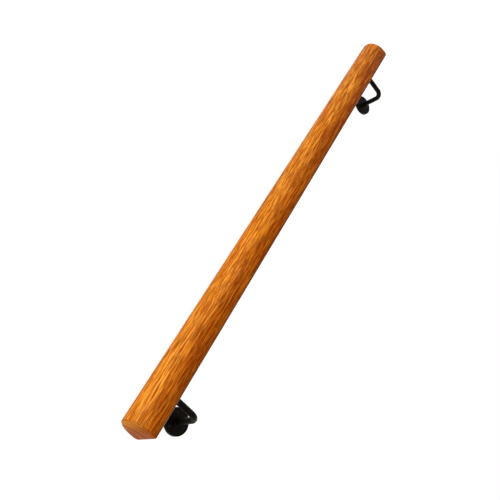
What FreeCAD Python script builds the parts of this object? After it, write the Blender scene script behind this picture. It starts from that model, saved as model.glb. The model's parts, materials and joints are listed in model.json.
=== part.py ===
"""A metre of stair handrail: a flat-bottomed timber rail on two bent-bar wall brackets.

Each piece is drawn as fitted: X runs along the rail, Y points away from the wall and Z is up,
with the rail's flat underside at Z 0. The whole is then turned about X and set down on the
floor, where it lies on the side of its crown and on the rims of its two wall roses.
"""

import FreeCAD, Part
import enum
import math
import os

import Sketcher
from FreeCAD import Placement, Rotation, Vector

doc = FreeCAD.newDocument("Handrail")

# Driving dimensions, in millimetres and degrees
SIZES = {
    # The timber rail
    "rail_length": 1000.0,
    "rail_width": 54.0,
    "rail_height": 44.5,
    "shoulder_height": 11.5,
    "corner_radius": 7.0,
    "end_chamfer": 2.0,
    # Where the brackets stand, and how far they reach
    "bracket_inset": 71.0,
    "bracket_drop": 53.0,
    "wall_reach": 57.0,
    # The bent round bar
    "bar_diameter": 10.0,
    "bend_radius": 15.0,
    # The saddle plate under the rail
    "saddle_length": 62.0,
    "saddle_width": 25.0,
    "saddle_thickness": 3.0,
    "saddle_screw_margin": 10.0,
    # The wall rose
    "rose_diameter": 43.0,
    "rose_thickness": 6.4,
    "rose_bevel": 1.2,
    "rose_back": 2.4,
    "socket_clearance": 0.1,
    "wall_screw_margin": 6.5,
    "wall_screw_hole": 4.2,
    # The countersunk wood screws that hold each saddle
    "screw_length": 20.0,
    "screw_diameter": 4.0,
    "screw_head": 7.8,
    "screw_clearance": 0.1,
    "sink_angle": 90.0,
}
WALL_SCREW_COUNT = 3
QUARTER = math.pi / 2
CUT_SHARE = 0.99

sheet = doc.addObject("Spreadsheet::Sheet", "Dimensions")
for row, (name, value) in enumerate(SIZES.items(), start=1):
    sheet.set(f"A{row}", name)
    sheet.set(f"B{row}", str(value))
    sheet.setAlias(f"B{row}", name)
doc.recompute()


def size(name):
    """The value of one driving dimension, read from the sheet."""
    return float(sheet.get(name))


def new_body(label):
    """An empty body with the label that names its piece."""
    body = doc.addObject("PartDesign::Body", label)
    body.Label = label
    return body


def new_sketch(body, name, role, offset="0"):
    """A sketch on one of the body's own origin planes, moved along that plane's normal."""
    sketch = body.newObject("Sketcher::SketchObject", name)
    plane = next(item for item in body.Origin.OriginFeatures if item.Role == role)
    sketch.AttachmentSupport = [(plane, "")]
    sketch.MapMode = "FlatFace"
    sketch.setExpression(".AttachmentOffset.Base.z", offset)
    return sketch


def line(sketch, start, end):
    """Adds a straight line and returns its number."""
    return sketch.addGeometry(Part.LineSegment(Vector(*start, 0), Vector(*end, 0)), False)


def arc(sketch, centre, radius, first, last):
    """Adds an arc that runs anticlockwise between two angles in radians."""
    ring = Part.Circle(Vector(*centre, 0), Vector(0, 0, 1), radius)
    return sketch.addGeometry(Part.ArcOfCircle(ring, first, last), False)


def circle(sketch, centre, radius):
    """Adds a full circle and returns its number."""
    return sketch.addGeometry(Part.Circle(Vector(*centre, 0), Vector(0, 0, 1), radius), False)


def fix(sketch, kind, *where):
    """Adds a geometric constraint."""
    sketch.addConstraint(Sketcher.Constraint(kind, *where))


def measure(sketch, name, expression, kind, *where):
    """Adds a dimension whose value follows an expression of the sheet's names."""
    index = sketch.addConstraint(Sketcher.Constraint(kind, *where))
    sketch.renameConstraint(index, name)
    sketch.setExpression("Constraints." + name, expression)


def check_sketch(sketch):
    """Stops the build when a sketch can't be solved."""
    doc.recompute()
    state = sketch.solve()
    if state != 0:
        faults = (sketch.ConflictingConstraints, sketch.RedundantConstraints)
        raise RuntimeError(f"unsolved sketch {sketch.Name}: {state} {faults}")


def edges_of(feature, test):
    """The names of the feature's edges whose vertices all pass a test."""
    names = []
    for number, edge in enumerate(feature.Shape.Edges, start=1):
        if all(test(vertex.Point) for vertex in edge.Vertexes):
            names.append(f"Edge{number}")
    return names


def cut_volume(before, after, expected):
    """Stops the build when a cut removed clearly less than it should have."""
    removed = before - after
    if removed < CUT_SHARE * expected:
        raise RuntimeError(f"a cut removed {removed:.1f} cubic mm, not {expected:.1f}")


class Spot(enum.IntEnum):
    """The points of a sketch's line or arc, as its constraints number them."""

    START = enum.auto()
    END = enum.auto()
    CENTRE = enum.auto()


START, END, CENTRE = Spot.START, Spot.END, Spot.CENTRE
H_AXIS = -START
V_AXIS = -END
ORIGIN = (H_AXIS, START)
TOUCH = 1e-6

SCREW_RADIUS = "Dimensions.screw_diameter / 2 + Dimensions.screw_clearance"
SCREW_SPREAD = "(Dimensions.saddle_length / 2 - Dimensions.saddle_screw_margin)"
BRACKET_PLACE = "(Dimensions.rail_length / 2 - Dimensions.bracket_inset)"
SINK_SLOPE = "tan(Dimensions.sink_angle / 2)"


def screw_spread():
    """How far each saddle screw stands from the middle of its saddle, along the rail."""
    return size("saddle_length") / 2 - size("saddle_screw_margin")


def bracket_place():
    """How far each bracket stands from the middle of the rail."""
    return size("rail_length") / 2 - size("bracket_inset")


def sink_slope():
    """The countersinks' spread for each millimetre of depth, on one side."""
    return math.tan(math.radians(size("sink_angle") / 2))


def make_handrail():
    """The rail: a flat base, eased lower corners and a high half-oval crown, cut square."""
    body = new_body("handrail")
    half = size("rail_width") / 2
    shoulder = size("shoulder_height")
    corner = size("corner_radius")
    crown = size("rail_height") - shoulder

    profile = new_sketch(body, "RailProfile", "YZ_Plane")
    base = line(profile, (-half + corner, 0), (half - corner, 0))
    right_corner = arc(profile, (half - corner, corner), corner, -QUARTER, 0)
    right_side = line(profile, (half, corner), (half, shoulder))
    oval_centre = Vector(0, shoulder, 0)
    if crown >= half:
        oval = Part.Ellipse(Vector(0, shoulder + crown, 0), Vector(-half, shoulder, 0), oval_centre)
        crown_arc = profile.addGeometry(Part.ArcOfEllipse(oval, -QUARTER, QUARTER), False)
    else:
        oval = Part.Ellipse(Vector(half, shoulder, 0), Vector(0, shoulder + crown, 0), oval_centre)
        crown_arc = profile.addGeometry(Part.ArcOfEllipse(oval, 0, 2 * QUARTER), False)
    left_side = line(profile, (-half, shoulder), (-half, corner))
    left_corner = arc(profile, (-half + corner, corner), corner, 2 * QUARTER, 3 * QUARTER)
    profile.exposeInternalGeometry(crown_arc)
    long_axis, short_axis = left_corner + 1, left_corner + 2
    upright_axis = long_axis if crown >= half else short_axis

    fix(profile, "Tangent", base, END, right_corner, START)
    fix(profile, "Tangent", right_corner, END, right_side, START)
    fix(profile, "Coincident", right_side, END, crown_arc, START)
    fix(profile, "Coincident", crown_arc, END, left_side, START)
    fix(profile, "Tangent", left_side, END, left_corner, START)
    fix(profile, "Tangent", left_corner, END, base, START)
    fix(profile, "Symmetric", base, START, base, END, V_AXIS)
    fix(profile, "PointOnObject", base, START, H_AXIS)
    fix(profile, "Vertical", right_side)
    fix(profile, "Vertical", left_side)
    fix(profile, "Equal", right_corner, left_corner)
    fix(profile, "Vertical", upright_axis)
    fix(profile, "Horizontal", crown_arc, CENTRE, crown_arc, START)
    fix(profile, "Horizontal", crown_arc, CENTRE, crown_arc, END)
    measure(profile, "CornerRadius", "Dimensions.corner_radius", "Radius", right_corner, corner)
    measure(profile, "RailWidth", "Dimensions.rail_width", "DistanceX",
            left_side, END, right_side, START, 2 * half)
    measure(profile, "ShoulderHeight", "Dimensions.shoulder_height", "DistanceY",
            *ORIGIN, right_side, END, shoulder)
    measure(profile, "CrownHeight", "2 * (Dimensions.rail_height - Dimensions.shoulder_height)",
            "Distance", upright_axis, 2 * crown)
    check_sketch(profile)

    pad = body.newObject("PartDesign::Pad", "RailLength")
    pad.Profile = profile
    pad.SideType = "Symmetric"
    pad.setExpression("Length", "Dimensions.rail_length")
    doc.recompute()

    ends = body.newObject("PartDesign::Chamfer", "EndChamfers")
    end_x = size("rail_length") / 2
    ends.Base = (pad, edges_of(pad, lambda point: abs(abs(point.x) - end_x) < TOUCH))
    ends.setExpression("Size", "Dimensions.end_chamfer")
    doc.recompute()

    marks = new_sketch(body, "ScrewMarks", "XY_Plane")
    radius = size("screw_diameter") / 2 + size("screw_clearance")
    screws = [(end, way) for end in (-1, 1) for way in (-1, 1)]
    for number, (end, way) in enumerate(screws):
        outward = end * way
        out = bracket_place() + outward * screw_spread()
        sign = "+" if outward > 0 else "-"
        mark = circle(marks, (end * out, 0), radius)
        fix(marks, "PointOnObject", mark, CENTRE, H_AXIS)
        measure(marks, f"Radius{number}", SCREW_RADIUS, "Radius", mark, radius)
        span = (mark, CENTRE, *ORIGIN) if end < 0 else (*ORIGIN, mark, CENTRE)
        measure(marks, f"Along{number}", f"{BRACKET_PLACE} {sign} {SCREW_SPREAD}", "DistanceX", *span, out)
    check_sketch(marks)
    holes = body.newObject("PartDesign::Pocket", "ScrewHoles")
    holes.Profile = marks
    holes.Reversed = True
    holes.setExpression("Length", "Dimensions.screw_length - Dimensions.saddle_thickness"
                                  " + Dimensions.screw_clearance")
    doc.recompute()
    depth = size("screw_length") - size("saddle_thickness")
    bored = len(screws) * math.pi * radius ** 2 * depth
    cut_volume(ends.Shape.Volume, holes.Shape.Volume, bored)
    return body


def make_arm(label):
    """The bracket's arm: one round bar, down from its saddle and bent square to the wall."""
    body = new_body(label)
    bend = size("bend_radius")
    drop = size("bracket_drop") - size("saddle_thickness")
    run = size("wall_reach") - size("rose_back")

    path = new_sketch(body, "ArmPath", "YZ_Plane")
    leg = line(path, (0, 0), (0, bend - drop))
    elbow = arc(path, (-bend, bend - drop), bend, -QUARTER, 0)
    reach = line(path, (-bend, -drop), (-run, -drop))
    fix(path, "Coincident", leg, START, *ORIGIN)
    fix(path, "Vertical", leg)
    fix(path, "Tangent", leg, END, elbow, END)
    fix(path, "Tangent", elbow, START, reach, START)
    fix(path, "Horizontal", reach)
    measure(path, "BendRadius", "Dimensions.bend_radius", "Radius", elbow, bend)
    measure(path, "Drop", "Dimensions.bracket_drop - Dimensions.saddle_thickness",
            "DistanceY", reach, END, *ORIGIN, drop)
    measure(path, "Run", "Dimensions.wall_reach - Dimensions.rose_back",
            "DistanceX", reach, END, *ORIGIN, run)
    check_sketch(path)

    section = new_sketch(body, "BarSection", "XY_Plane")
    ring = circle(section, (0, 0), size("bar_diameter") / 2)
    fix(section, "Coincident", ring, CENTRE, *ORIGIN)
    measure(section, "BarRadius", "Dimensions.bar_diameter / 2", "Radius", ring,
            size("bar_diameter") / 2)
    check_sketch(section)

    bar = body.newObject("PartDesign::AdditivePipe", "BentBar")
    bar.Profile = section
    bar.Spine = (path, ["Edge1", "Edge2", "Edge3"])
    doc.recompute()
    return body


def make_saddle(label):
    """The flat plate that the arm is welded to, with two countersunk screw holes."""
    body = new_body(label)
    half_width = size("saddle_width") / 2
    half_length = size("saddle_length") / 2 - half_width

    outline = new_sketch(body, "SaddleOutline", "XY_Plane")
    front = line(outline, (-half_length, -half_width), (half_length, -half_width))
    right = arc(outline, (half_length, 0), half_width, -QUARTER, QUARTER)
    back = line(outline, (half_length, half_width), (-half_length, half_width))
    left = arc(outline, (-half_length, 0), half_width, QUARTER, 3 * QUARTER)
    loop = [front, right, back, left]
    for first, second in zip(loop, loop[1:] + loop[:1]):
        fix(outline, "Tangent", first, END, second, START)
    fix(outline, "Horizontal", front)
    fix(outline, "Symmetric", left, CENTRE, right, CENTRE, *ORIGIN)
    measure(outline, "EndRadius", "Dimensions.saddle_width / 2", "Radius", right, half_width)
    measure(outline, "Straight", "Dimensions.saddle_length - Dimensions.saddle_width",
            "DistanceX", left, CENTRE, right, CENTRE, 2 * half_length)
    check_sketch(outline)

    plate = body.newObject("PartDesign::Pad", "SaddlePlate")
    plate.Profile = outline
    plate.Reversed = True
    plate.setExpression("Length", "Dimensions.saddle_thickness")
    doc.recompute()

    marks = new_sketch(body, "SaddleMarks", "XY_Plane", "-Dimensions.saddle_thickness")
    radius = size("screw_diameter") / 2 + size("screw_clearance")
    for number, way in enumerate((-1, 1)):
        mark = circle(marks, (way * screw_spread(), 0), radius)
        fix(marks, "PointOnObject", mark, CENTRE, H_AXIS)
        measure(marks, f"Radius{number}", SCREW_RADIUS, "Radius", mark, radius)
        span = (mark, CENTRE, *ORIGIN) if way < 0 else (*ORIGIN, mark, CENTRE)
        measure(marks, f"Along{number}", SCREW_SPREAD, "DistanceX", *span, screw_spread())
    check_sketch(marks)
    holes = body.newObject("PartDesign::Hole", "CountersunkHoles")
    holes.Profile = marks
    doc.recompute()
    holes.Threaded = False
    holes.DepthType = "ThroughAll"
    holes.setExpression("Diameter", "Dimensions.screw_diameter + 2 * Dimensions.screw_clearance")
    holes.HoleCutType = "Countersink"
    holes.HoleCutCustomValues = True
    holes.setExpression("HoleCutDiameter", "Dimensions.screw_head + 2 * Dimensions.screw_clearance")
    holes.setExpression("HoleCutCountersinkAngle", "Dimensions.sink_angle")
    holes.Reversed = True
    doc.recompute()
    straight = 2 * math.pi * radius ** 2 * size("saddle_thickness")
    cut_volume(plate.Shape.Volume, holes.Shape.Volume, straight)
    return body


def make_rose(label):
    """The wall rose: a thick bevelled disc with a blind socket for the bar and three screw holes."""
    body = new_body(label)
    radius = size("rose_diameter") / 2
    thick = size("rose_thickness")
    bevel = size("rose_bevel")
    back = size("rose_back")
    bore = size("bar_diameter") / 2 + size("socket_clearance")

    section = new_sketch(body, "RoseSection", "YZ_Plane")
    seat = line(section, (0, 0), (0, radius))
    edge = line(section, (0, radius), (thick - bevel, radius))
    slope = line(section, (thick - bevel, radius), (thick, radius - bevel))
    face = line(section, (thick, radius - bevel), (thick, bore))
    wall = line(section, (thick, bore), (back, bore))
    floor = line(section, (back, bore), (back, 0))
    axis = line(section, (back, 0), (0, 0))
    loop = [seat, edge, slope, face, wall, floor, axis]
    for first, second in zip(loop, loop[1:] + loop[:1]):
        fix(section, "Coincident", first, END, second, START)
    fix(section, "Coincident", seat, START, *ORIGIN)
    for upright in (seat, face, floor):
        fix(section, "Vertical", upright)
    for level in (edge, wall, axis):
        fix(section, "Horizontal", level)
    measure(section, "RoseRadius", "Dimensions.rose_diameter / 2", "DistanceY",
            *ORIGIN, seat, END, radius)
    measure(section, "RoseThickness", "Dimensions.rose_thickness", "DistanceX",
            *ORIGIN, face, START, thick)
    measure(section, "BevelDepth", "Dimensions.rose_bevel", "DistanceX", slope, START, slope, END, bevel)
    measure(section, "BevelHeight", "Dimensions.rose_bevel", "DistanceY", slope, END, slope, START, bevel)
    measure(section, "SocketRadius", "Dimensions.bar_diameter / 2 + Dimensions.socket_clearance",
            "DistanceY", *ORIGIN, wall, END, bore)
    measure(section, "RoseBack", "Dimensions.rose_back", "DistanceX", *ORIGIN, wall, END, back)
    check_sketch(section)

    turned = body.newObject("PartDesign::Revolution", "TurnedRose")
    turned.Profile = section
    turned.ReferenceAxis = (section, ["H_Axis"])
    doc.recompute()

    mark = new_sketch(body, "WallScrewMark", "XZ_Plane")
    hole = size("wall_screw_hole") / 2
    out = radius - size("wall_screw_margin")
    ring = circle(mark, (0, -out), hole)
    fix(mark, "PointOnObject", ring, CENTRE, V_AXIS)
    measure(mark, "HoleRadius", "Dimensions.wall_screw_hole / 2", "Radius", ring, hole)
    measure(mark, "OffCentre", "Dimensions.rose_diameter / 2 - Dimensions.wall_screw_margin",
            "DistanceY", ring, CENTRE, *ORIGIN, out)
    check_sketch(mark)

    first_hole = body.newObject("PartDesign::Pocket", "FirstWallHole")
    first_hole.Profile = mark
    first_hole.setExpression("Length", "Dimensions.rose_thickness")
    doc.recompute()
    drilled = math.pi * hole ** 2 * thick
    cut_volume(turned.Shape.Volume, first_hole.Shape.Volume, drilled)

    around = body.newObject("PartDesign::PolarPattern", "WallHoles")
    around.Originals = [first_hole]
    around.Axis = (section, ["H_Axis"])
    around.Occurrences = WALL_SCREW_COUNT
    body.Tip = around
    doc.recompute()
    cut_volume(turned.Shape.Volume, around.Shape.Volume, drilled * WALL_SCREW_COUNT)
    return body


def make_screw(label):
    """A countersunk wood screw: a flat head that tapers into its shank."""
    body = new_body(label)
    head = size("screw_head") / 2
    shank = size("screw_diameter") / 2
    whole = size("screw_length")
    head_depth = (head - shank) / sink_slope()
    section = new_sketch(body, "ScrewSection", "XZ_Plane")
    face = line(section, (0, 0), (head, 0))
    cone = line(section, (head, 0), (shank, head_depth))
    side = line(section, (shank, head_depth), (shank, whole))
    end = line(section, (shank, whole), (0, whole))
    axis = line(section, (0, whole), (0, 0))
    loop = [face, cone, side, end, axis]
    for first, second in zip(loop, loop[1:] + loop[:1]):
        fix(section, "Coincident", first, END, second, START)
    fix(section, "Coincident", face, START, *ORIGIN)
    fix(section, "Horizontal", face)
    fix(section, "Vertical", side)
    fix(section, "Horizontal", end)
    fix(section, "Vertical", axis)
    measure(section, "HeadRadius", "Dimensions.screw_head / 2", "DistanceX", *ORIGIN, face, END, head)
    measure(section, "HeadDepth", f"(Dimensions.screw_head - Dimensions.screw_diameter) / 2 / {SINK_SLOPE}",
            "DistanceY", *ORIGIN, cone, END, head_depth)
    measure(section, "ShankRadius", "Dimensions.screw_diameter / 2", "DistanceX",
            *ORIGIN, cone, END, shank)
    measure(section, "ScrewLength", "Dimensions.screw_length", "DistanceY",
            *ORIGIN, end, END, whole)
    check_sketch(section)
    turned = body.newObject("PartDesign::Revolution", "TurnedScrew")
    turned.Profile = section
    turned.ReferenceAxis = (section, ["V_Axis"])
    doc.recompute()
    return body


def lying_place():
    """The turn and the lift that set the fitted assembly down on the floor.

    The floor touches the upper back rims of the roses and the side of the oval crown. It is the
    tangent from a rim to the oval, found with the heights squeezed until the oval is a circle.
    """
    half = size("rail_width") / 2
    shoulder = size("shoulder_height")
    crown = size("rail_height") - shoulder
    rim_out = size("wall_reach")
    rim_height = size("rose_diameter") / 2 - size("bracket_drop")
    squeezed = (rim_height - shoulder) * half / crown
    touch = math.atan2(squeezed, rim_out) + math.acos(half / math.hypot(rim_out, squeezed))
    lean = math.atan2(math.sin(touch) / crown, math.cos(touch) / half)
    rotation = Rotation(Vector(0, -math.cos(lean), math.sin(lean)), Vector(0, 0, -1))
    rim = rotation.multVec(Vector(0, -rim_out, rim_height))
    return Placement(Vector(0, 0, -rim.z), rotation)


def centred(lying, bodies):
    """The lying place, shifted so that the whole is centred over the origin."""
    box = FreeCAD.BoundBox()
    for body, fitted in bodies:
        shape = body.Shape.copy()
        shape.Placement = lying.multiply(fitted)
        box.add(shape.optimalBoundingBox(False, False))
    return Placement(Vector(0, -box.Center.y, 0), Rotation()).multiply(lying)


pieces = [(make_handrail(), Placement())]
for end_name, end in (("lower", 1), ("upper", -1)):
    place_x = end * bracket_place()
    under = Placement(Vector(place_x, 0, 0), Rotation())
    arm_top = Placement(Vector(place_x, 0, -size("saddle_thickness")), Rotation())
    on_wall = Placement(Vector(place_x, -size("wall_reach"), -size("bracket_drop")), Rotation())
    pieces.append((make_saddle(f"{end_name}_saddle_plate"), under))
    pieces.append((make_arm(f"{end_name}_bracket_arm"), arm_top))
    pieces.append((make_rose(f"{end_name}_wall_rose"), on_wall))
    for letter, way in (("a", 1), ("b", -1)):
        screw_x = place_x + way * screw_spread()
        screw_place = Placement(Vector(screw_x, 0, -size("saddle_thickness")), Rotation())
        pieces.append((make_screw(f"{end_name}_saddle_screw_{letter}"), screw_place))

lying = centred(lying_place(), pieces)
for body, fitted in pieces:
    body.Placement = lying.multiply(fitted)
doc.recompute()

for item in doc.Objects:
    if "Invalid" in item.State or "Error" in item.State:
        raise RuntimeError("failed object: " + item.Name)
for body, fitted in pieces:
    if body.Shape.isNull() or not body.Shape.isValid() or len(body.Shape.Solids) != 1:
        raise RuntimeError("bad shape: " + body.Label)

os.makedirs("parts", exist_ok=True)
for body, fitted in pieces:
    body.Shape.exportStep(f"parts/{body.Label}.step")
    print(f"{body.Label}: {body.Shape.Volume:.1f} cubic mm")
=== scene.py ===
"""A metre of stained oak stair handrail on two black bent-bar brackets, as it lies on the studio floor.

Each piece is modelled as fitted on its wall, in millimetres: X runs along the rail, Y points away
from the wall and Z is up, with the rail's flat underside at Z 0. LYING then lays it on the floor.
"""

import bmesh
import bpy
import json
import math
from bmesh.types import BMEdge, BMVert
from mathutils import Euler, Matrix, Quaternion, Vector


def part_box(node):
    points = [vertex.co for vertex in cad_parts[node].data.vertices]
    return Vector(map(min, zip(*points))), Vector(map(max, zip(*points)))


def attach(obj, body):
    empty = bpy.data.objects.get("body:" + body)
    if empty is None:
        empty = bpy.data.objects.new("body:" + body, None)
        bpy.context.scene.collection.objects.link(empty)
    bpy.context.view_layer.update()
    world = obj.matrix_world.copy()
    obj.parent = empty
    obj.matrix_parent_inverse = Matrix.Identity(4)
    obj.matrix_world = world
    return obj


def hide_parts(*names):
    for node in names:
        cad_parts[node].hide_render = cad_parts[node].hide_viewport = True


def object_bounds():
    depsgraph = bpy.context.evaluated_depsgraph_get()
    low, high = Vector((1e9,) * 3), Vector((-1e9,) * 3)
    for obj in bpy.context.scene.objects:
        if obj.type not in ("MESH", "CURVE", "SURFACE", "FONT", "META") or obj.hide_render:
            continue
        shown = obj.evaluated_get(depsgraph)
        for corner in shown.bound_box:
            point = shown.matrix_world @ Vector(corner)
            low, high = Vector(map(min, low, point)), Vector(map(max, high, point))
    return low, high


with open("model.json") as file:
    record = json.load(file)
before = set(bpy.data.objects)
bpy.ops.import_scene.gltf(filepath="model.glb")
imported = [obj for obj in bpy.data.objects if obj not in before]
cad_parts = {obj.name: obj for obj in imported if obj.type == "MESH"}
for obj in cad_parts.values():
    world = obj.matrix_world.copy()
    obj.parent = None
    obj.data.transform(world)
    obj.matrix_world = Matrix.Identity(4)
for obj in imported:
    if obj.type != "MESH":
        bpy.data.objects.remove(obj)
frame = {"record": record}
cad_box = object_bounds()

MM = 0.001
METRE = 1 / MM


def length_of(node):
    """How far a node reaches along the rail, in millimetres."""
    low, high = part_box(node)
    return (high.x - low.x) * METRE


# Sizes in millimetres, read from the frame where it holds them. The frame draws its round forms in
# facets, and FACET_DEPTH keeps the finer ones drawn here inside them
FACET_DEPTH = 0.02
RAIL_LENGTH = length_of("handrail")
RAIL_WIDTH = 54.0
RAIL_HEIGHT = 44.5
SHOULDER_HEIGHT = 11.5
CORNER_RADIUS = 7.0
END_EASING = 2.0
BRACKET_DROP = 53.0
WALL_REACH = 57.0
BAR_RADIUS = length_of("lower_bracket_arm") / 2 - FACET_DEPTH
BEND_RADIUS = 15.0
WELD_LEG = 1.6
SADDLE_LENGTH = length_of("lower_saddle_plate")
SADDLE_WIDTH = 25.0
SADDLE_THICKNESS = 3.0
SADDLE_LIP = 0.8
ROSE_RADIUS = length_of("lower_wall_rose") / 2 - FACET_DEPTH
ROSE_THICKNESS = 6.4
ROSE_LIP = 1.4
SOCKET_FLOOR = 2.4
WALL_HOLE_RADIUS = 2.1
WALL_HOLE_MOUTH = 0.2
WALL_HOLE_MARGIN = 6.5
WALL_HOLE_CIRCLE = ROSE_RADIUS - WALL_HOLE_MARGIN

# The saddle screws, in millimetres
SCREW_MARGIN = 10.0
SCREW_SPREAD = SADDLE_LENGTH / 2 - SCREW_MARGIN
SCREW_CLEARANCE = 0.1
SCREW_LENGTH = 20.0
SCREW_POINT = 4.0
HEAD_RADIUS = length_of("lower_saddle_screw_a") / 2
SHANK_RADIUS = 2.0
NECK_LENGTH = 3.0
NECK_SLOPE = 0.4
THREAD_PITCH = 1.8
THREAD_HEIGHT = 0.35
THREAD_FOOT = 0.9 * THREAD_PITCH
RECESS_LENGTH = 4.4
RECESS_WIDTH = 0.9
RECESS_DEPTH = 1.6
# How long and wide the recess is at its foot, as shares of its mouth
RECESS_TAPER = (0.35, 0.8)

# How finely round forms are drawn
CROWN_STEPS = 144
CORNER_STEPS = 10
END_STEPS = 3
BAR_STEPS = 48
ELBOW_STEPS = 24
PLATE_STEPS = 96
SADDLE_LIP_STEPS = 4
ROSE_LIP_STEPS = 6
HOLE_STEPS = 40
THREAD_STEPS = 20
SMOOTH_ANGLE = math.radians(32)

# In millimetres: points this near are joined, slivers this thin are mended, lengths this near agree,
# and a cutter reaches this far past its cut
JOIN_DISTANCE = 1e-4
SLIVER = 2e-3
TOLERANCE = 1e-3
BEYOND = 1.0

# The photograph's viewpoint
CAMERA_PLACE = (0.8036, -0.7583, 0.528)
CAMERA_AZIMUTH = math.radians(42.578)
CAMERA_ELEVATION = math.radians(27.38)
CAMERA_ROLL = math.radians(99.087)
CAMERA_LENS = 47.936
CAMERA_SENSOR = 36.0
CAMERA_SIGHT = 100.0

# The studio: a strong low softbox in front, weaker ones above and behind, and an even room
FLOOR_HALF_WIDTH = 30.0
FLOOR_GAP = 0.0002
FLOOR_GLOW = 0.82
ROOM_LIGHT = 0.26
FRONT_WATTS = 28.5
HIGH_WATTS = 6.0
BACK_WATTS = 18.0

# Growth rings round a pith that lies beside the rail, towards the wall and a little below it, in
# millimetres. Oak grows 2 to 3 mm a year, and the rings are drawn wider so that they show
RING_WIDTH = 7.0
PITH = (0.0, -52.0, -8.0)
RING_LEAN = (0.0, math.radians(1.1), math.radians(-1.6))
# Painted shade: below the lower height the timber is drawn darker and redder, in place of the shade on the
# rail's lower side, and above the upper height it keeps its own colour
PAINTED_SHADE_FOOT = 16.0
PAINTED_SHADE_TOP = 40.0
# Where in the endless grain this board begins, and how far its fibres sway, in millimetres
BOARD_START = 700.0
FIBRE_SWAY = 4.5


def fitted_to_lying():
    """The turn and shift from the rail as fitted, in metres, to the rail as it lies."""
    mount = next(item for item in frame["record"]["mounts"] if item["name"] == "lower_wall_face")
    outward = -Vector(mount["axis"])
    along = Vector((1, 0, 0))
    turn = Matrix((along, outward, along.cross(outward))).transposed().to_4x4()
    seat = Vector(mount["pos_m"])
    fitted_seat = Vector((seat.x, -WALL_REACH * MM, -BRACKET_DROP * MM))
    return Matrix.Translation(seat - turn @ fitted_seat) @ turn


LYING = fitted_to_lying()


def linear(hex_colour):
    """A linear RGBA colour from an sRGB hex value."""
    channels = [int(hex_colour[i:i + 2], 16) / 255 for i in (0, 2, 4)]
    return [c / 12.92 if c <= 0.04045 else ((c + 0.055) / 1.055) ** 2.4 for c in channels] + [1.0]


def add(tree, kind, inputs=None, **settings):
    """Adds one node, with its settings and with a value or a link for each socket named."""
    node = tree.nodes.new(kind)
    for name, value in settings.items():
        setattr(node, name, value)
    for socket, value in (inputs or {}).items():
        if isinstance(value, bpy.types.NodeSocket):
            tree.links.new(value, node.inputs[socket])
        else:
            node.inputs[socket].default_value = value
    return node


def new_material(name):
    """An empty material, its node tree and its surface shader."""
    material = bpy.data.materials.new(name)
    material.use_nodes = True
    tree = material.node_tree
    tree.nodes.clear()
    shader = add(tree, "ShaderNodeBsdfPrincipled")
    add(tree, "ShaderNodeOutputMaterial", {"Surface": shader.outputs["BSDF"]})
    return material, tree, shader


def fitted_millimetres(tree):
    """A place on a piece as fitted, in millimetres, whichever way the piece lies."""
    back = LYING.inverted()
    lying = add(tree, "ShaderNodeTexCoord")
    return add(tree, "ShaderNodeMapping", {
        "Vector": lying.outputs["Object"],
        "Location": back.translation * METRE,
        "Rotation": back.to_euler(),
        "Scale": (METRE, METRE, METRE),
    }).outputs["Vector"]


# The sockets of a colour Mix node go by number
MIX_SHARE, MIX_FIRST, MIX_SECOND, MIX_RESULT = 0, 6, 7, 2


def tinted(tree, ground, amount, start, full, share, tint):
    """A ground colour that takes up a tint: none below the start, and its whole share above full."""
    grown = add(tree, "ShaderNodeMapRange", {
        "Value": amount, "From Min": start, "From Max": full, "To Min": 0.0, "To Max": share,
    }, interpolation_type="SMOOTHSTEP")
    mixed = add(tree, "ShaderNodeMix", {
        MIX_SHARE: grown.outputs["Result"], MIX_FIRST: ground, MIX_SECOND: tint,
    }, data_type="RGBA")
    return mixed.outputs[MIX_RESULT]


def grain_figure(tree, where, length, width, detail, roughness=0.55):
    """A random figure of the grain, about so long and so wide in millimetres."""
    stretched = add(tree, "ShaderNodeMapping", {
        "Vector": where,
        "Scale": (1 / length, 1 / width, 1 / width),
        "Location": (BOARD_START / length, 0.0, 0.0),
    })
    return add(tree, "ShaderNodeTexNoise", {
        "Vector": stretched.outputs["Vector"], "Scale": 1.0, "Detail": detail, "Roughness": roughness})


def swaying(tree, place):
    """The place along fibres that wander a little, instead of straight along the rail."""
    wander = grain_figure(tree, place, length=70.0, width=16.0, detail=3.0)
    either_way = add(tree, "ShaderNodeVectorMath", {
        0: wander.outputs["Color"], 1: (0.5, 0.5, 0.5)}, operation="SUBTRACT")
    sway = add(tree, "ShaderNodeVectorMath", {
        0: either_way.outputs["Vector"], 1: (0.0, FIBRE_SWAY, FIBRE_SWAY)}, operation="MULTIPLY")
    return add(tree, "ShaderNodeVectorMath", {
        0: place, 1: sway.outputs["Vector"]}, operation="ADD").outputs["Vector"]


def growth_rings(tree, grown):
    """Rings of uneven width and depth round the pith, a little out of line with the rail."""
    lean = Euler(RING_LEAN)
    centred = add(tree, "ShaderNodeMapping", {
        "Vector": grown, "Rotation": lean, "Location": -(lean.to_matrix() @ Vector(PITH))})
    crosswise = add(tree, "ShaderNodeVectorMath", {
        0: centred.outputs["Vector"], 1: (0.0, 1.0, 1.0)}, operation="MULTIPLY")
    radius = add(tree, "ShaderNodeVectorMath", {0: crosswise.outputs["Vector"]}, operation="LENGTH")
    years = add(tree, "ShaderNodeMath", {0: radius.outputs["Value"], 1: RING_WIDTH}, operation="DIVIDE")
    return add(tree, "ShaderNodeTexNoise", {
        "W": years.outputs["Value"], "Scale": 1.0, "Detail": 3.0, "Roughness": 0.6,
    }, noise_dimensions="1D").outputs["Fac"]


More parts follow.
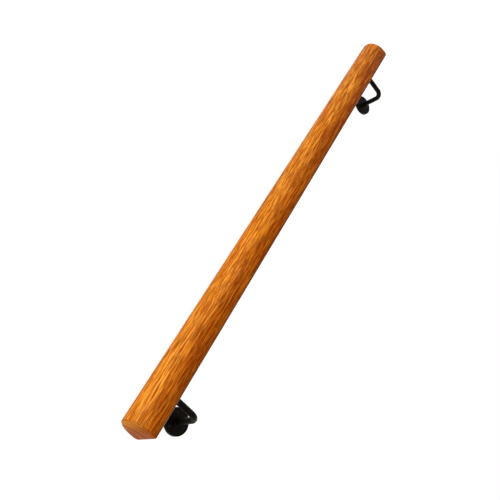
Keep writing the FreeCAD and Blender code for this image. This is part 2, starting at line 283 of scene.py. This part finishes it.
def stained_oak():
    """Oak, moulded along the grain, stained a warm orange brown and varnished satin.

    Growth rings show as long streaks down the sides and as arcs on the sawn ends. The stain gathers
    dark in the pores, the rays stay pale flecks, and the varnish gives a soft sheen.
    """
    material, tree, shader = new_material("stained_oak")
    grown = swaying(tree, fitted_millimetres(tree))
    rings = growth_rings(tree, grown)

    # Oak's pores and fibre lines are 0.1 to 0.4 mm wide, and its rays about 1 mm. The figures are all
    # drawn coarser than that, so that they show from afar
    streaks = grain_figure(tree, grown, length=150.0, width=4.6, detail=5.0, roughness=0.65).outputs["Fac"]
    veins = grain_figure(tree, grown, length=170.0, width=3.4, detail=5.0, roughness=0.65).outputs["Fac"]
    dashes = grain_figure(tree, grown, length=65.0, width=2.8, detail=5.0, roughness=0.65).outputs["Fac"]
    pores = grain_figure(tree, grown, length=30.0, width=1.9, detail=3.0).outputs["Fac"]
    flecks = grain_figure(tree, grown, length=22.0, width=2.0, detail=3.0).outputs["Fac"]
    fibres = grain_figure(tree, grown, length=45.0, width=0.6, detail=2.0).outputs["Fac"]

    # Each figure has the levels where it starts and is full, its greatest share, and its tint
    colour = linear("E48C20")
    for figure, start, full, share, tint in (
            (rings, 0.35, 0.65, 1.0, "F6A034"),
            (streaks, 0.42, 0.62, 0.45, "F0AC46"),
            (veins, 0.46, 0.60, 0.5, "B05206"),
            (dashes, 0.46, 0.57, 0.8, "A64606"),
            (pores, 0.48, 0.58, 0.7, "823C02"),
            (fibres, 0.45, 0.60, 0.35, "944608"),
            (flecks, 0.54, 0.66, 0.4, "CE9444")):
        colour = tinted(tree, colour, figure, start, full, share, linear(tint))

    # The sawn ends show the rings as arcs, and the open pores as small dark spots
    arcs = tinted(tree, linear("E67008"), rings, start=0.40, full=0.52, share=1.0, tint=linear("FFA83C"))
    arcs = tinted(tree, arcs, pores, start=0.50, full=0.66, share=0.45, tint=linear("B85410"))
    facing = add(tree, "ShaderNodeNewGeometry")
    split = add(tree, "ShaderNodeSeparateXYZ", {"Vector": facing.outputs["Normal"]})
    endwise = add(tree, "ShaderNodeMath", {0: split.outputs["X"]}, operation="ABSOLUTE").outputs["Value"]
    colour = tinted(tree, colour, endwise, start=0.90, full=0.99, share=0.85, tint=arcs)

    # Painted shade: the lower side of the rail is drawn darker and redder, standing in for the shade that
    # falls there
    height = add(tree, "ShaderNodeSeparateXYZ", {"Vector": grown}).outputs["Z"]
    painted_shade_tone = tinted(tree, linear("D0B078"), height, PAINTED_SHADE_FOOT, PAINTED_SHADE_TOP, share=1.0, tint=linear("FFFFFF"))
    painted_shade_mix = add(tree, "ShaderNodeMix", {MIX_SHARE: 1.0, MIX_FIRST: colour, MIX_SECOND: painted_shade_tone},
                data_type="RGBA", blend_type="MULTIPLY")
    tree.links.new(painted_shade_mix.outputs[MIX_RESULT], shader.inputs["Base Color"])

    # Pores and fibres are shallow grooves. The varnish is duller over the open dashes, and its shine
    # is kept faint, because the photograph shows hardly any
    relief = add(tree, "ShaderNodeMath", {0: fibres, 1: pores}, operation="ADD")
    bump = add(tree, "ShaderNodeBump", {
        "Height": relief.outputs["Value"], "Strength": 0.25, "Distance": 0.05 * MM}, invert=True)
    sheen = add(tree, "ShaderNodeMapRange", {
        "Value": dashes, "From Min": 0.3, "From Max": 0.7, "To Min": 0.32, "To Max": 0.46})
    tree.links.new(bump.outputs["Normal"], shader.inputs["Normal"])
    tree.links.new(sheen.outputs["Result"], shader.inputs["Roughness"])
    shader.inputs["Specular IOR Level"].default_value = 0.02
    return material


def powder_coated_steel():
    """Steel, bent and drilled, then powder coated black.

    The baked powder leaves a fine even ripple, so highlights are soft and slightly broken up.
    """
    material, tree, shader = new_material("powder_coated_steel")
    place = fitted_millimetres(tree)
    # The ripple is about half a millimetre, and drawn a little wider so that it shows
    ripple_width = 0.8
    cloud_width = 14.0
    ripple = add(tree, "ShaderNodeTexNoise", {
        "Vector": place, "Scale": 1 / ripple_width, "Detail": 2.0, "Roughness": 0.5}).outputs["Fac"]
    cloud = add(tree, "ShaderNodeTexNoise", {
        "Vector": place, "Scale": 1 / cloud_width, "Detail": 2.0, "Roughness": 0.5}).outputs["Fac"]
    colour = tinted(tree, linear("0E0B06"), cloud, start=0.35, full=0.65, share=1.0, tint=linear("1C150B"))
    bump = add(tree, "ShaderNodeBump", {"Height": ripple, "Strength": 0.35, "Distance": 0.06 * MM})
    gloss = add(tree, "ShaderNodeMapRange", {
        "Value": ripple, "From Min": 0.3, "From Max": 0.7, "To Min": 0.36, "To Max": 0.48})
    tree.links.new(colour, shader.inputs["Base Color"])
    tree.links.new(gloss.outputs["Result"], shader.inputs["Roughness"])
    tree.links.new(bump.outputs["Normal"], shader.inputs["Normal"])
    shader.inputs["Specular IOR Level"].default_value = 0.04
    return material


def blackened_screw_steel():
    """Hardened screw steel, blackened by a phosphate bath: a dry dark grey, faintly mottled."""
    material, tree, shader = new_material("blackened_screw_steel")
    # The crystals are too fine to see, and drawn at half a millimetre so that they show
    crystal_width = 0.5
    crystals = add(tree, "ShaderNodeTexNoise", {
        "Vector": fitted_millimetres(tree), "Scale": 1 / crystal_width, "Detail": 3.0, "Roughness": 0.6,
    }).outputs["Fac"]
    colour = tinted(tree, linear("1E1D1C"), crystals, start=0.35, full=0.7, share=1.0, tint=linear("34322F"))
    bump = add(tree, "ShaderNodeBump", {"Height": crystals, "Strength": 0.3, "Distance": 0.03 * MM})
    tree.links.new(colour, shader.inputs["Base Color"])
    tree.links.new(bump.outputs["Normal"], shader.inputs["Normal"])
    shader.inputs["Metallic"].default_value = 0.6
    shader.inputs["Roughness"].default_value = 0.45
    return material


def wire(mesh, points):
    """A chain of edges through a few points."""
    verts = [mesh.verts.new(point) for point in points]
    return [mesh.edges.new(pair) for pair in zip(verts, verts[1:])]


def only(kind, geometry):
    """The vertices, or the edges, among what an operator has made."""
    return [item for item in geometry if isinstance(item, kind)]


def ease(mesh, geometry, radius, steps, affect="EDGES"):
    """Rounds edges, or the corners of an outline, over to a radius."""
    bmesh.ops.bevel(mesh, geom=geometry, offset=radius, offset_type="OFFSET", affect=affect,
                    segments=steps, profile=0.5, material=-1)


def corners_at(mesh, test):
    """The vertices that pass a test of their place."""
    return [vert for vert in mesh.verts if test(vert.co)]


def edges_at(mesh, test):
    """The edges whose two ends pass a test of their place."""
    return [edge for edge in mesh.edges if all(test(vert.co) for vert in edge.verts)]


def near(value, target):
    """Whether two lengths agree."""
    return abs(value - target) < TOLERANCE


def grow(mesh, edges, step):
    """Draws a ring of edges onwards by a step and returns the new ring."""
    drawn = bmesh.ops.extrude_edge_only(mesh, edges=edges)["geom"]
    bmesh.ops.translate(mesh, verts=only(BMVert, drawn), vec=step)
    return only(BMEdge, drawn)


def thicken(mesh, step):
    """Draws a flat outline out by a step, to a closed solid."""
    drawn = bmesh.ops.extrude_face_region(mesh, geom=mesh.faces[:], use_keep_orig=True)["geom"]
    bmesh.ops.translate(mesh, verts=only(BMVert, drawn), vec=step)


def verts_of(edges):
    """The vertices of some edges, each once and in order."""
    return list(dict.fromkeys(vert for edge in edges for vert in edge.verts))


def turned(mesh, axis, steps):
    """Spins the outline drawn so far once round an axis through the origin."""
    bmesh.ops.spin(mesh, geom=mesh.verts[:] + mesh.edges[:], cent=(0, 0, 0), axis=axis,
                   dvec=(0, 0, 0), angle=2 * math.pi, steps=steps, use_merge=True)
    bmesh.ops.remove_doubles(mesh, verts=mesh.verts, dist=JOIN_DISTANCE)


def smooth_faces(data):
    """Shades the round forms smooth and keeps the crisp edges crisp."""
    for face in data.polygons:
        face.use_smooth = True
    data.set_sharp_from_angle(angle=SMOOTH_ANGLE)


def as_object(mesh, name, shift=(0, 0, 0)):
    """Closes the modelling of one form and makes it an object."""
    bmesh.ops.remove_doubles(mesh, verts=mesh.verts, dist=JOIN_DISTANCE)
    bmesh.ops.recalc_face_normals(mesh, faces=mesh.faces)
    bmesh.ops.translate(mesh, verts=mesh.verts, vec=shift)
    data = bpy.data.meshes.new(name)
    mesh.to_mesh(data)
    mesh.free()
    made = bpy.data.objects.new(name, data)
    bpy.context.scene.collection.objects.link(made)
    return made


def without_slivers(data):
    """Joins points that all but meet, and drops faces with no area."""
    mesh = bmesh.new()
    mesh.from_mesh(data)
    bmesh.ops.remove_doubles(mesh, verts=mesh.verts, dist=SLIVER)
    bmesh.ops.dissolve_degenerate(mesh, edges=mesh.edges, dist=SLIVER)
    bmesh.ops.triangulate(mesh, faces=[face for face in mesh.faces if len(face.verts) > 4])
    bmesh.ops.dissolve_degenerate(mesh, edges=mesh.edges, dist=SLIVER)
    mesh.to_mesh(data)
    mesh.free()


def combine(piece, others, how="DIFFERENCE"):
    """Cuts other forms out of a piece, or joins them to it, and removes them."""
    for other in others:
        modifier = piece.modifiers.new(how, "BOOLEAN")
        modifier.operation = how
        modifier.solver = "EXACT"
        modifier.object = other
    bpy.context.view_layer.update()
    finished = bpy.data.meshes.new_from_object(piece.evaluated_get(bpy.context.evaluated_depsgraph_get()))
    without_slivers(finished)
    piece.modifiers.clear()
    used_up = [piece.data] + [other.data for other in others]
    piece.data = finished
    for data in used_up:
        bpy.data.meshes.remove(data)


def lay_down(piece, node, material):
    """Lays a piece in its place on the floor, where it stands for its node."""
    piece.data.transform(LYING @ Matrix.Scale(MM, 4))
    smooth_faces(piece.data)
    piece.data.materials.clear()
    piece.data.materials.append(material)
    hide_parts(node)
    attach(piece, "root")


def bracket_place(end):
    """Where a bracket stands along the rail, in millimetres."""
    low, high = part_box(f"{end}_bracket_arm")
    return (low.x + high.x) / 2 * METRE


def screw_bore(place):
    """A cutter for the hole that one saddle screw fills in the timber."""
    bore = SHANK_RADIUS + SCREW_CLEARANCE
    depth = SCREW_LENGTH - SADDLE_THICKNESS + SCREW_CLEARANCE
    mesh = bmesh.new()
    wire(mesh, [(0, 0, -BEYOND), (bore, 0, -BEYOND), (bore, 0, depth), (0, 0, depth)])
    turned(mesh, (0, 0, 1), HOLE_STEPS)
    return as_object(mesh, "screw_bore", (place, 0, 0))


def make_rail(material):
    """The rail: a half-oval crown on a flat base, with eased lower corners and eased sawn ends."""
    mesh = bmesh.new()
    bmesh.ops.create_circle(mesh, cap_ends=True, segments=CROWN_STEPS, radius=1.0)
    half_width = RAIL_WIDTH / 2 - FACET_DEPTH
    crown = RAIL_HEIGHT - SHOULDER_HEIGHT - FACET_DEPTH
    bmesh.ops.scale(mesh, verts=mesh.verts, vec=(half_width, crown, 1.0))
    bmesh.ops.bisect_plane(mesh, geom=mesh.verts[:] + mesh.edges[:] + mesh.faces[:], dist=JOIN_DISTANCE,
                           plane_co=(0, 0, 0), plane_no=(0, 1, 0), clear_inner=True)
    bmesh.ops.translate(mesh, verts=mesh.verts, vec=(0, SHOULDER_HEIGHT, 0))
    brow = edges_at(mesh, lambda co: near(co.y, SHOULDER_HEIGHT))
    grow(mesh, brow, (0, -SHOULDER_HEIGHT, 0))
    bmesh.ops.dissolve_edges(mesh, edges=brow, use_verts=False)
    ease(mesh, corners_at(mesh, lambda co: near(co.y, 0)), CORNER_RADIUS, CORNER_STEPS, "VERTICES")

    # Stand the outline across the rail and draw it along
    upright = Matrix(((0, 0, 1), (1, 0, 0), (0, 1, 0))).to_4x4()
    bmesh.ops.transform(mesh, verts=mesh.verts, matrix=upright)
    bmesh.ops.translate(mesh, verts=mesh.verts, vec=(-RAIL_LENGTH / 2, 0, 0))
    thicken(mesh, (RAIL_LENGTH, 0, 0))
    ends = [edge for edge in mesh.edges if near(edge.verts[0].co.x, edge.verts[1].co.x)]
    ease(mesh, ends, END_EASING, END_STEPS)
    rail = as_object(mesh, "rail_timber")
    combine(rail, [screw_bore(bracket_place(end) + way * SCREW_SPREAD)
                   for end in ("lower", "upper") for way in (-1, 1)])
    lay_down(rail, "handrail", material)


def make_arm(end, material):
    """One round bar, welded under its saddle, bent square and let into its wall rose."""
    mesh = bmesh.new()
    bmesh.ops.create_circle(mesh, cap_ends=True, segments=BAR_STEPS, radius=BAR_RADIUS + WELD_LEG)
    elbow_start = BRACKET_DROP - BEND_RADIUS
    weld_foot = SADDLE_THICKNESS + WELD_LEG
    bmesh.ops.translate(mesh, verts=mesh.verts, vec=(0, 0, -SADDLE_THICKNESS))
    weld = grow(mesh, mesh.edges[:], (0, 0, -WELD_LEG))
    narrowing = BAR_RADIUS / (BAR_RADIUS + WELD_LEG)
    bmesh.ops.scale(mesh, verts=verts_of(weld), vec=(narrowing, narrowing, 1.0))
    ring = grow(mesh, weld, (0, 0, weld_foot - elbow_start))
    bent = bmesh.ops.spin(mesh, geom=verts_of(ring) + ring, cent=(0, -BEND_RADIUS, -elbow_start),
                          axis=(-1, 0, 0), dvec=(0, 0, 0), angle=math.pi / 2, steps=ELBOW_STEPS)
    reach = WALL_REACH - SOCKET_FLOOR - BEND_RADIUS
    ring = grow(mesh, only(BMEdge, bent["geom_last"]), (0, -reach, 0))
    bmesh.ops.holes_fill(mesh, edges=ring, sides=BAR_STEPS)
    arm = as_object(mesh, f"{end}_arm", (bracket_place(end), 0, 0))
    lay_down(arm, f"{end}_bracket_arm", material)


def countersink(place):
    """A cutter for one saddle screw's hole and its cone."""
    hole = SHANK_RADIUS + SCREW_CLEARANCE
    sink = HEAD_RADIUS + SCREW_CLEARANCE
    mesh = bmesh.new()
    wire(mesh, [(0, 0, BEYOND), (hole, 0, BEYOND), (hole, 0, sink - hole - SADDLE_THICKNESS),
                (sink + BEYOND, 0, -SADDLE_THICKNESS - BEYOND), (0, 0, -SADDLE_THICKNESS - BEYOND)])
    turned(mesh, (0, 0, 1), HOLE_STEPS)
    return as_object(mesh, "countersink", (place, 0, 0))


def make_saddle(end, material):
    """The round-ended plate under the rail, with two countersunk screw holes."""
    mesh = bmesh.new()
    bmesh.ops.create_circle(mesh, cap_ends=True, segments=PLATE_STEPS, radius=SADDLE_WIDTH / 2)
    half_step = math.pi / PLATE_STEPS
    bmesh.ops.rotate(mesh, verts=mesh.verts, cent=(0, 0, 0), matrix=Matrix.Rotation(half_step, 3, "Z"))
    straight = (SADDLE_LENGTH - SADDLE_WIDTH) / 2
    for way in (-1, 1):
        half = corners_at(mesh, lambda co, way=way: co.x * way > 0)
        bmesh.ops.translate(mesh, verts=half, vec=(way * straight, 0, 0))
    thicken(mesh, (0, 0, -SADDLE_THICKNESS))
    lip = edges_at(mesh, lambda co: near(co.z, -SADDLE_THICKNESS))
    ease(mesh, lip, SADDLE_LIP, SADDLE_LIP_STEPS)
    saddle = as_object(mesh, f"{end}_saddle", (bracket_place(end), 0, 0))
    combine(saddle, [countersink(bracket_place(end) + way * SCREW_SPREAD) for way in (-1, 1)])
    lay_down(saddle, f"{end}_saddle_plate", material)


def wall_hole(turn, place):
    """A cutter for one of a rose's wall screws, its mouth slightly eased."""
    mesh = bmesh.new()
    wire(mesh, [(0, -BEYOND, 0), (WALL_HOLE_RADIUS, -BEYOND, 0),
                (WALL_HOLE_RADIUS, ROSE_THICKNESS - WALL_HOLE_MOUTH, 0),
                (WALL_HOLE_RADIUS + WALL_HOLE_MOUTH + BEYOND, ROSE_THICKNESS + BEYOND, 0),
                (0, ROSE_THICKNESS + BEYOND, 0)])
    turned(mesh, (0, 1, 0), HOLE_STEPS)
    bmesh.ops.translate(mesh, verts=mesh.verts, vec=(0, 0, -WALL_HOLE_CIRCLE))
    bmesh.ops.rotate(mesh, verts=mesh.verts, cent=(0, 0, 0), matrix=Matrix.Rotation(turn, 3, "Y"))
    return as_object(mesh, "wall_hole", place)


def make_rose(end, material):
    """The wall rose: a thick disc with a rounded rim, three screw holes and the bar's weld."""
    mesh = bmesh.new()
    wire(mesh, [(0, 0, 0), (ROSE_RADIUS, 0, 0), (ROSE_RADIUS, ROSE_THICKNESS, 0),
                (BAR_RADIUS + WELD_LEG, ROSE_THICKNESS, 0), (BAR_RADIUS, ROSE_THICKNESS + WELD_LEG, 0),
                (BAR_RADIUS, SOCKET_FLOOR, 0), (0, SOCKET_FLOOR, 0)])
    rim = corners_at(mesh, lambda co: near(co.x, ROSE_RADIUS) and near(co.y, ROSE_THICKNESS))
    ease(mesh, rim, ROSE_LIP, ROSE_LIP_STEPS, "VERTICES")
    turned(mesh, (0, 1, 0), PLATE_STEPS)
    place = (bracket_place(end), -WALL_REACH, -BRACKET_DROP)
    rose = as_object(mesh, f"{end}_rose", place)
    combine(rose, [wall_hole(third * 2 * math.pi / 3, place) for third in range(3)])
    lay_down(rose, f"{end}_wall_rose", material)


def recess_slot(turn, place):
    """A cutter for one of the two slots of a screw head's cross recess, narrower at its foot."""
    mesh = bmesh.new()
    slot = bmesh.ops.create_cube(mesh, size=1.0)["verts"]
    bmesh.ops.scale(mesh, verts=slot, vec=(RECESS_LENGTH, RECESS_WIDTH, 2 * RECESS_DEPTH))
    foot = corners_at(mesh, lambda co: co.z > 0)
    bmesh.ops.scale(mesh, verts=foot, vec=(*RECESS_TAPER, 1.0))
    bmesh.ops.rotate(mesh, verts=slot, cent=(0, 0, 0), matrix=Matrix.Rotation(turn, 3, "Z"))
    return as_object(mesh, "recess_slot", place)


def thread(place):
    """A sharp ridge wound round a screw's core, from under its smooth neck to its point."""
    mesh = bmesh.new()
    root = SHANK_RADIUS - 2 * THREAD_HEIGHT
    start = HEAD_RADIUS + THREAD_PITCH
    turns = math.floor((SCREW_LENGTH - SCREW_POINT - start) / THREAD_PITCH)
    ridge = [mesh.verts.new(point) for point in (
        (root, 0, start), (SHANK_RADIUS, 0, start + THREAD_FOOT / 2), (root, 0, start + THREAD_FOOT))]
    loop = [mesh.edges.new(pair) for pair in zip(ridge, ridge[1:] + ridge[:1])]
    wound = bmesh.ops.spin(mesh, geom=ridge + loop, cent=(0, 0, 0), axis=(0, 0, 1),
                           dvec=(0, 0, THREAD_PITCH / THREAD_STEPS), angle=2 * math.pi * turns,
                           steps=THREAD_STEPS * turns)
    mesh.faces.new(ridge)
    mesh.faces.new(only(BMVert, wound["geom_last"]))
    return as_object(mesh, "thread", place)


def make_screw(end, letter, way, material):
    """A countersunk wood screw: a flat head with a cross recess, a coarse thread and a point."""
    mesh = bmesh.new()
    core = SHANK_RADIUS - THREAD_HEIGHT
    head_depth = HEAD_RADIUS - SHANK_RADIUS
    neck_end = head_depth + NECK_LENGTH
    wire(mesh, [(0, 0, 0), (HEAD_RADIUS, 0, 0), (SHANK_RADIUS, 0, head_depth), (SHANK_RADIUS, 0, neck_end),
                (core, 0, neck_end + NECK_SLOPE), (core, 0, SCREW_LENGTH - SCREW_POINT),
                (0, 0, SCREW_LENGTH)])
    turned(mesh, (0, 0, 1), BAR_STEPS)
    place = (bracket_place(end) + way * SCREW_SPREAD, 0, -SADDLE_THICKNESS)
    screw = as_object(mesh, f"{end}_screw_{letter}", place)
    combine(screw, [recess_slot(turn, place) for turn in (0, math.pi / 2)])
    combine(screw, [thread(place)], "UNION")
    lay_down(screw, f"{end}_saddle_screw_{letter}", material)


def make_brackets():
    """Both brackets, each with its saddle, arm, rose and two saddle screws."""
    coat = powder_coated_steel()
    screw_steel = blackened_screw_steel()
    for end in ("lower", "upper"):
        make_saddle(end, coat)
        make_arm(end, coat)
        make_rose(end, coat)
        for letter, way in (("a", 1), ("b", -1)):
            make_screw(end, letter, way, screw_steel)


def seen_share(tree):
    """One where the camera, a reflection or a glass looks at a surface, and else nothing."""
    path = add(tree, "ShaderNodeLightPath")
    looked_at = add(tree, "ShaderNodeMath", {
        0: path.outputs["Is Camera Ray"], 1: path.outputs["Is Glossy Ray"]}, operation="MAXIMUM")
    return add(tree, "ShaderNodeMath", {
        0: looked_at.outputs["Value"], 1: path.outputs["Is Transmission Ray"],
    }, operation="MAXIMUM").outputs["Value"]


def white_paper():
    """Studio paper: it takes the object's shadow, and glows to white only where it is looked at."""
    material = bpy.data.materials.new("white_paper")
    material.use_nodes = True
    tree = material.node_tree
    tree.nodes.clear()
    paper = add(tree, "ShaderNodeBsdfDiffuse", {"Color": linear("D8D8D8")})
    strength = add(tree, "ShaderNodeMath", {0: seen_share(tree), 1: FLOOR_GLOW}, operation="MULTIPLY")
    glow = add(tree, "ShaderNodeEmission", {
        "Color": linear("FFFFFF"), "Strength": strength.outputs["Value"]})
    both = add(tree, "ShaderNodeAddShader", {0: paper.outputs["BSDF"], 1: glow.outputs["Emission"]})
    add(tree, "ShaderNodeOutputMaterial", {"Surface": both.outputs["Shader"]})
    return material


def make_floor():
    """A plain white floor, a hair below the object."""
    mesh = bmesh.new()
    bmesh.ops.create_grid(mesh, x_segments=1, y_segments=1, size=FLOOR_HALF_WIDTH)
    floor = as_object(mesh, "studio_floor")
    floor.location.z = cad_box[0].z - FLOOR_GAP
    floor.data.materials.append(white_paper())


def make_world():
    """White to the eye all round, with a weaker even light on the object."""
    world = bpy.data.worlds.new("studio")
    bpy.context.scene.world = world
    world.use_nodes = True
    tree = world.node_tree
    tree.nodes.clear()
    room = add(tree, "ShaderNodeBackground", {"Color": linear("FFFFFF"), "Strength": ROOM_LIGHT})
    backdrop = add(tree, "ShaderNodeBackground", {"Color": linear("FFFFFF"), "Strength": 1.0})
    mixed = add(tree, "ShaderNodeMixShader", {
        0: seen_share(tree), 1: room.outputs["Background"], 2: backdrop.outputs["Background"]})
    add(tree, "ShaderNodeOutputWorld", {"Surface": mixed.outputs["Shader"]})


def softbox(name, place, target, width, height, watts):
    """A large soft lamp that faces a point."""
    light = bpy.data.lights.new(name, "AREA")
    light.shape = "RECTANGLE"
    light.size = width
    light.size_y = height
    light.energy = watts
    lamp = bpy.data.objects.new(name, light)
    bpy.context.scene.collection.objects.link(lamp)
    lamp.location = place
    lamp.rotation_mode = "QUATERNION"
    lamp.rotation_quaternion = (Vector(target) - Vector(place)).to_track_quat("-Z", "Y")
    lamp.visible_camera = False


def make_lights():
    """A low softbox in front, a high one whose sheen runs along the rail, and one behind it."""
    softbox("front_softbox", place=(0.3, -1.35, 0.1), target=(0.0, 0.0, 0.02),
            width=2.8, height=0.18, watts=FRONT_WATTS)
    softbox("high_softbox", place=(-1.2, -1.35, 0.95), target=(0.0, 0.0, 0.03),
            width=1.6, height=0.5, watts=HIGH_WATTS)
    softbox("back_softbox", place=(0.0, 1.6, 0.25), target=(0.0, 0.0, 0.03),
            width=2.4, height=0.3, watts=BACK_WATTS)


def make_camera():
    """A camera at the photograph's viewpoint, turned as the photograph is."""
    camera = bpy.data.cameras.new("camera")
    camera.lens = CAMERA_LENS
    camera.sensor_width = CAMERA_SENSOR
    camera.clip_end = CAMERA_SIGHT
    seat = bpy.data.objects.new("camera", camera)
    bpy.context.scene.collection.objects.link(seat)
    flat = math.cos(CAMERA_ELEVATION)
    back = Vector((math.sin(CAMERA_AZIMUTH) * flat, -math.cos(CAMERA_AZIMUTH) * flat,
                   math.sin(CAMERA_ELEVATION)))
    roll = Quaternion((0, 0, 1), CAMERA_ROLL)
    seat.location = CAMERA_PLACE
    seat.rotation_mode = "QUATERNION"
    seat.rotation_quaternion = (-back).to_track_quat("-Z", "Y") @ roll
    bpy.context.scene.camera = seat


make_rail(stained_oak())
make_brackets()
make_floor()
make_world()
make_lights()
make_camera()
bpy.context.scene.view_settings.view_transform = "Standard"
